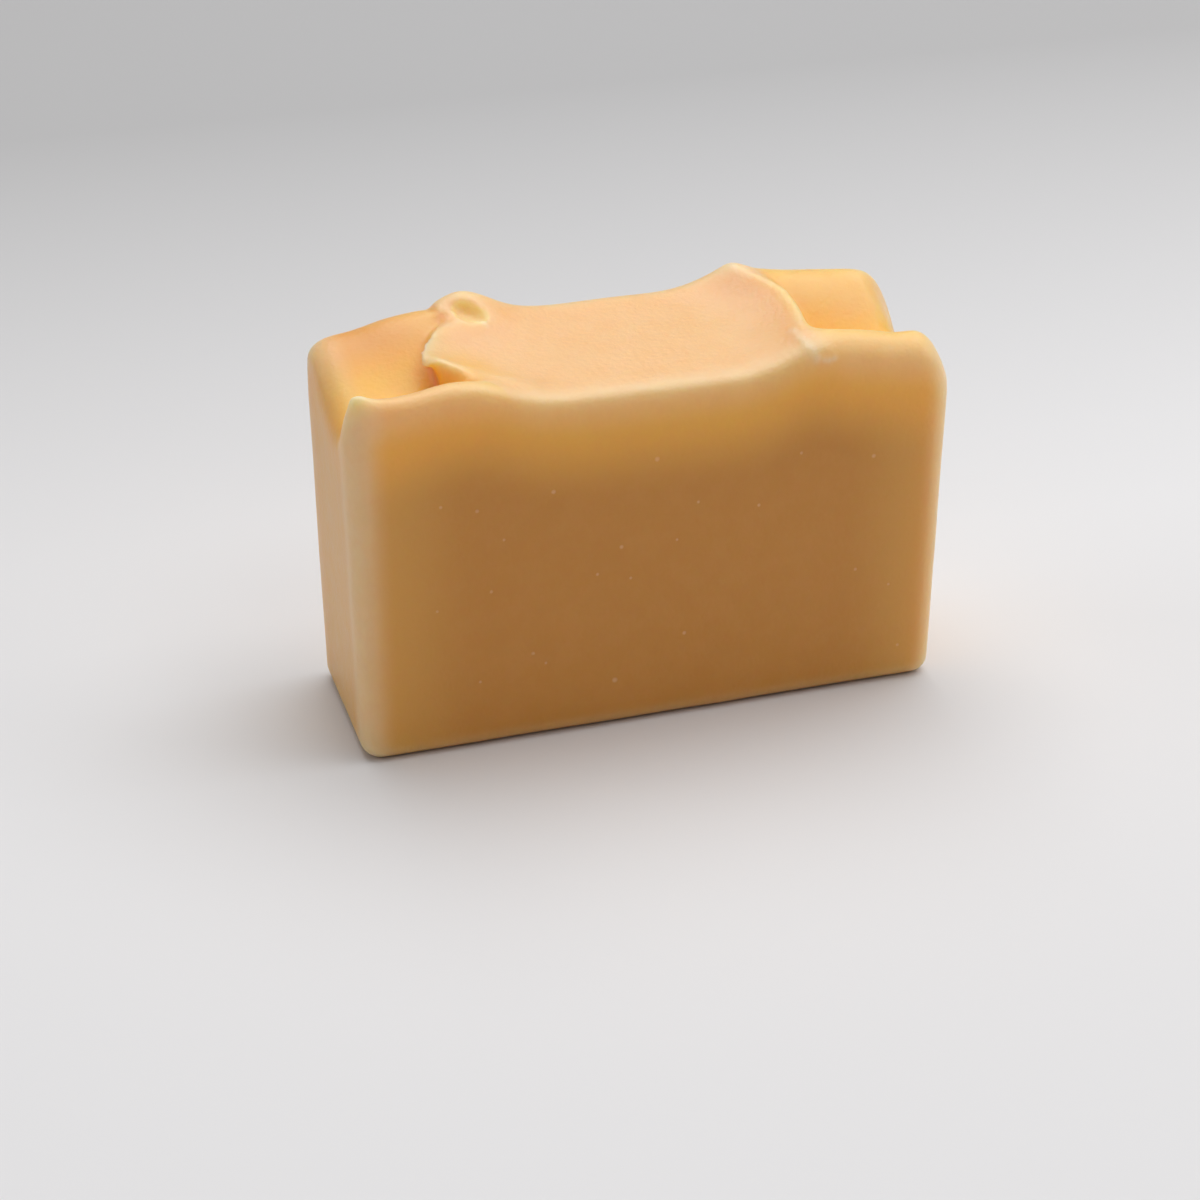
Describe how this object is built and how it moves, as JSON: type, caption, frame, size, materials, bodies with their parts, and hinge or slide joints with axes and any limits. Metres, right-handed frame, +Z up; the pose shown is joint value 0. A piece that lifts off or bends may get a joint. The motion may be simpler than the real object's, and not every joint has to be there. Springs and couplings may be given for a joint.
{
  "type": "bar of soap",
  "caption": "Hand-made rectangular bar of soap with rounded edges and a spooned, swirled top; it stands on its flat base.",
  "frame": {"origin": "centre of the bounding box, in the plane of the flat base that the bar stands on", "axes": "+X along the bar to the right seen from the front cut face, +Y through its thickness to the back, +Z up"},
  "size_m": [0.0898, 0.0296, 0.0581],
  "materials": {
    "soap": "satin, waxy and slightly translucent"
  },
  "bodies": {
    "root": {"soap_bar": "soap"}
  },
  "joints": []
}
